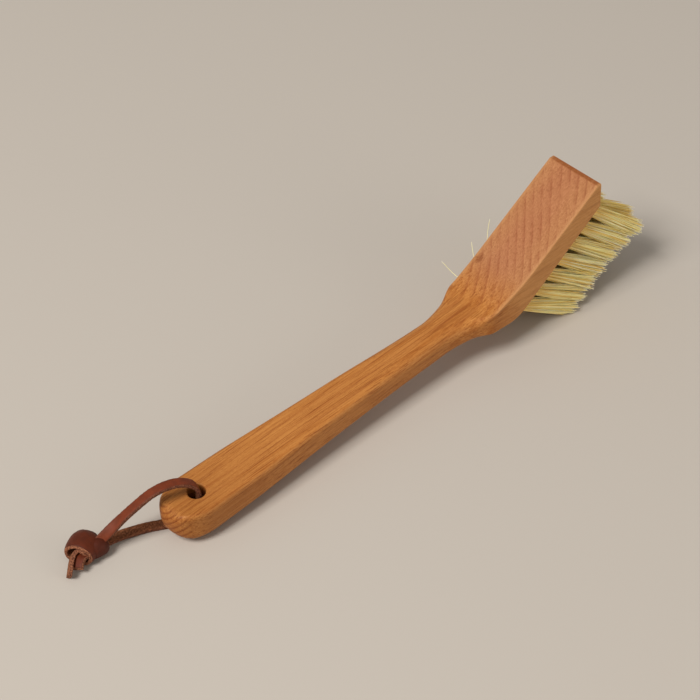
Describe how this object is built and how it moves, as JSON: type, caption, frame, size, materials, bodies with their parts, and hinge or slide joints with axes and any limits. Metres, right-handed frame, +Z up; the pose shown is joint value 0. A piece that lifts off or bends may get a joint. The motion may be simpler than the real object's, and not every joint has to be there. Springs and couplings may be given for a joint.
{
  "type": "dish brush",
  "caption": "Long-handled wooden dish brush with an angled head of plant-fibre bristle tufts and a knotted leather strap for hanging it up.",
  "frame": {"origin": "on the table, below the middle of the body and bristles as they lie at rest, the strap left out", "axes": "+X along the handle from the hanging hole towards the head, +Y to the brush's left, +Z up from the table; the bristles point forward and down"},
  "size_m": [0.3174, 0.039, 0.0652],
  "materials": {
    "oiled_wood": "oiled, satin",
    "plant_fibre": "matte plant fibre",
    "staple_wire": "drawn wire",
    "brown_leather": "smooth grain, rough flesh side"
  },
  "bodies": {
    "brush": {"wooden_body": "oiled_wood", "tuft_r1_c1": "plant_fibre", "tuft_r1_c2": "plant_fibre", "tuft_r1_c3": "plant_fibre", "tuft_r1_c4": "plant_fibre", "tuft_r1_c5": "plant_fibre", "tuft_r1_c6": "plant_fibre", "tuft_r1_c7": "plant_fibre", "tuft_r2_c1": "plant_fibre", "tuft_r2_c2": "plant_fibre", "tuft_r2_c3": "plant_fibre", "tuft_r2_c4": "plant_fibre", "tuft_r2_c5": "plant_fibre", "tuft_r2_c6": "plant_fibre", "tuft_r2_c7": "plant_fibre", "tuft_r3_c1": "plant_fibre", "tuft_r3_c2": "plant_fibre", "tuft_r3_c3": "plant_fibre", "tuft_r3_c4": "plant_fibre", "tuft_r3_c5": "plant_fibre", "tuft_r3_c6": "plant_fibre", "tuft_r3_c7": "plant_fibre", "staple_r1_c1": "staple_wire", "staple_r1_c2": "staple_wire", "staple_r1_c3": "staple_wire", "staple_r1_c4": "staple_wire", "staple_r1_c5": "staple_wire", "staple_r1_c6": "staple_wire", "staple_r1_c7": "staple_wire", "staple_r2_c1": "staple_wire", "staple_r2_c2": "staple_wire", "staple_r2_c3": "staple_wire", "staple_r2_c4": "staple_wire", "staple_r2_c5": "staple_wire", "staple_r2_c6": "staple_wire", "staple_r2_c7": "staple_wire", "staple_r3_c1": "staple_wire", "staple_r3_c2": "staple_wire", "staple_r3_c3": "staple_wire", "staple_r3_c4": "staple_wire", "staple_r3_c5": "staple_wire", "staple_r3_c6": "staple_wire", "staple_r3_c7": "staple_wire"},
    "strap": {"strap_loop": "brown_leather", "strap_knot": "brown_leather"}
  },
  "joints": [
    {"name": "strap_swing", "type": "hinge", "parent": "brush", "child": "strap", "pos_m": [-0.11975, 0, 0.01004], "axis": [-0.052, 0, 0.9986], "range_deg": [-91, 128]}
  ]
}
